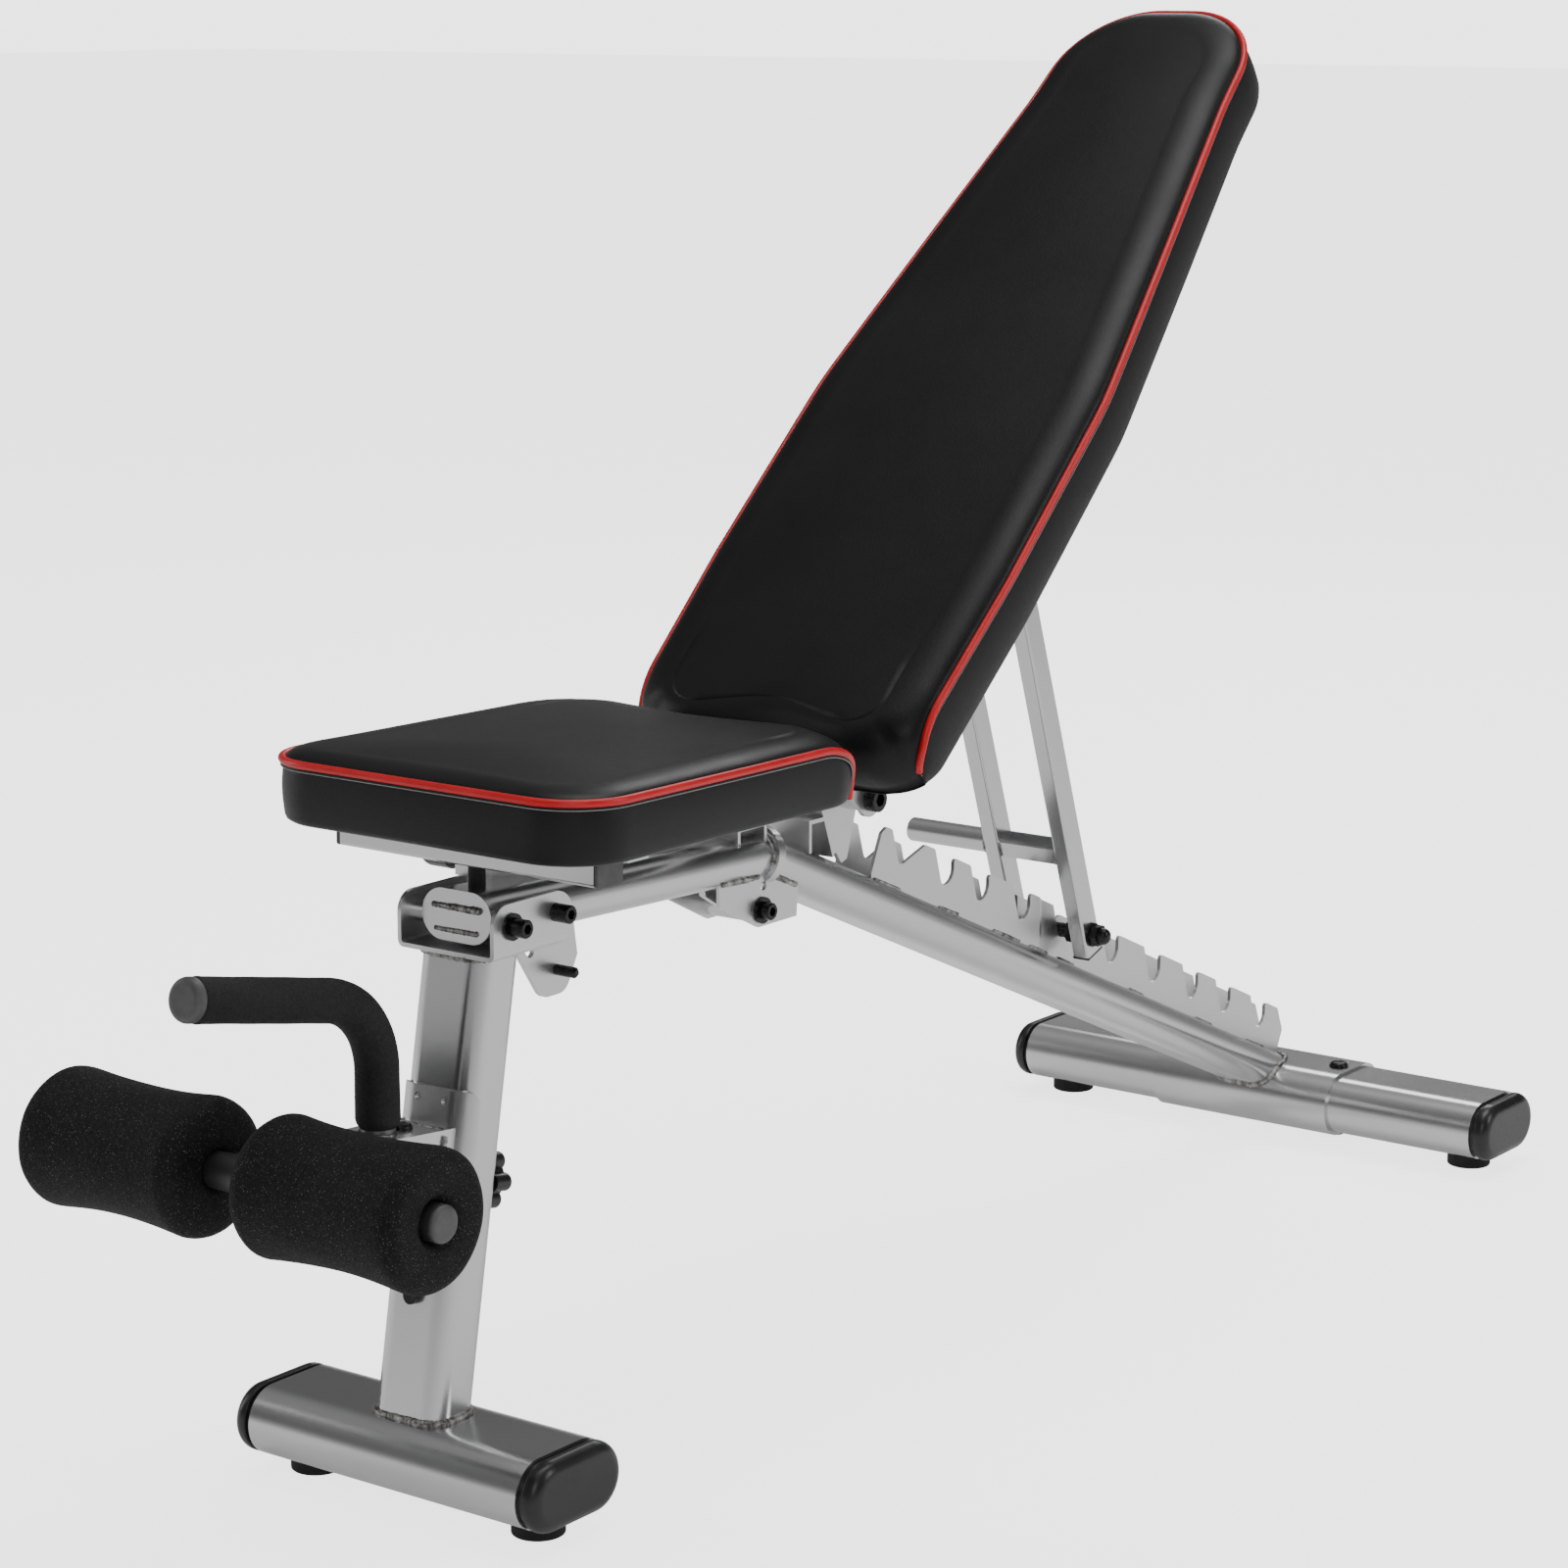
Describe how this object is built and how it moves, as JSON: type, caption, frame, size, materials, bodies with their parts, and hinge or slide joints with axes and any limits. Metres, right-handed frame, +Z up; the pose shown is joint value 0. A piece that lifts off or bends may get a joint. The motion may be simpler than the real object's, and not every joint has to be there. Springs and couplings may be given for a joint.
{
  "type": "decline sit up bench",
  "caption": "Decline sit up bench with a tilting padded seat and backrest on a notched ladder, foam leg rollers and a bent grab handle.",
  "frame": {"origin": "on the floor, under the middle of the bench's bounding box", "axes": "+Z up; +Y runs along the bench from the leg hold to the rear foot; +X to the right of a person facing +Y"},
  "size_m": [0.492, 1.4211, 0.9976],
  "materials": {
    "silver_steel": "satin",
    "grey_steel": "satin",
    "black_steel": "gloss",
    "bright_steel": "polished",
    "black_plastic": "satin",
    "grey_plastic": "satin",
    "black_rubber": "matte",
    "foam": "matte",
    "vinyl": "satin",
    "board": "matte"
  },
  "bodies": {
    "base_frame": {"backrest_bracket": "silver_steel", "clevis": "silver_steel", "clevis_lock_bolt": "black_steel", "clevis_pivot_bolt": "black_steel", "foot_tube_caps": "black_plastic", "front_foot_tube": "silver_steel", "front_post": "silver_steel", "front_tube": "silver_steel", "front_tube_end": "silver_steel", "handle_cap": "grey_plastic", "handle_foam": "foam", "handle_tube": "grey_steel", "keeper_pin": "black_steel", "keeper_plate": "silver_steel", "knee_bolt": "black_steel", "knee_bushing": "silver_steel", "knee_flanges": "silver_steel", "knee_gussets": "silver_steel", "ladder_plates": "silver_steel", "leg_arm": "silver_steel", "leg_arm_bolts": "black_steel", "leg_saddle": "silver_steel", "rear_foot_tube": "silver_steel", "rear_sleeve": "silver_steel", "rear_tube": "silver_steel", "roller_bar": "grey_steel", "roller_bar_plugs": "grey_plastic", "rubber_feet": "black_rubber", "seat_bumper": "black_rubber", "seat_hinge_bracket": "silver_steel", "seat_lock_bracket": "silver_steel", "seat_lock_collar": "bright_steel", "sleeve_bolts": "black_steel", "star_knob_stud": "bright_steel"},
    "backrest": {"backrest_board": "board", "backrest_pad": "vinyl", "backrest_rails": "silver_steel", "backrest_pivot_bolt": "black_steel", "frame_pivot_bolt": "black_steel"},
    "support_frame": {"support_bars": "silver_steel", "support_bar_plugs": "black_plastic", "support_channel": "silver_steel", "support_pin": "black_steel", "support_pin_nuts": "black_steel", "stub_handle": "silver_steel"},
    "seat": {"seat_board": "board", "seat_pad": "vinyl", "seat_rails": "silver_steel", "seat_cross_tube": "silver_steel", "seat_tube_caps": "grey_plastic", "seat_ears": "silver_steel", "seat_hinge_bolt": "black_steel", "seat_quadrant": "silver_steel"},
    "seat_lock": {"seat_lock_pin": "bright_steel", "seat_lock_knob": "black_plastic"},
    "roller_near": {"roller_near": "foam"},
    "roller_far": {"roller_far": "foam"},
    "star_knob": {"star_knob": "black_plastic"}
  },
  "joints": [
    {"name": "backrest_tilt", "type": "hinge", "parent": "base_frame", "child": "backrest", "pos_m": [0, -0.0301, 0.423], "axis": [1, 0, 0], "range_deg": [0, 26]},
    {"name": "support_frame_swing", "type": "hinge", "parent": "backrest", "child": "support_frame", "pos_m": [0, 0.16282, 0.63132], "axis": [1, 0, 0], "range_deg": [0, 80]},
    {"name": "seat_tilt", "type": "hinge", "parent": "base_frame", "child": "seat", "pos_m": [0, -0.1441, 0.434], "axis": [-1, 0, 0], "range_deg": [0, 15]},
    {"name": "seat_lock_pull", "type": "slide", "parent": "base_frame", "child": "seat_lock", "axis": [-1, 0, 0], "range_m": [0, 0.006], "stiffness_N_per_m": 400, "springref_m": -0.004},
    {"name": "roller_near_spin", "type": "hinge", "parent": "base_frame", "child": "roller_near", "pos_m": [0.105, -0.6571, 0.272], "axis": [1, 0, 0], "continuous": true},
    {"name": "roller_far_spin", "type": "hinge", "parent": "base_frame", "child": "roller_far", "pos_m": [-0.105, -0.6571, 0.272], "axis": [1, 0, 0], "continuous": true},
    {"name": "star_knob_turn", "type": "hinge", "parent": "base_frame", "child": "star_knob", "pos_m": [0, -0.44067, 0.217], "axis": [0, 0.9845, -0.1756], "continuous": true}
  ]
}
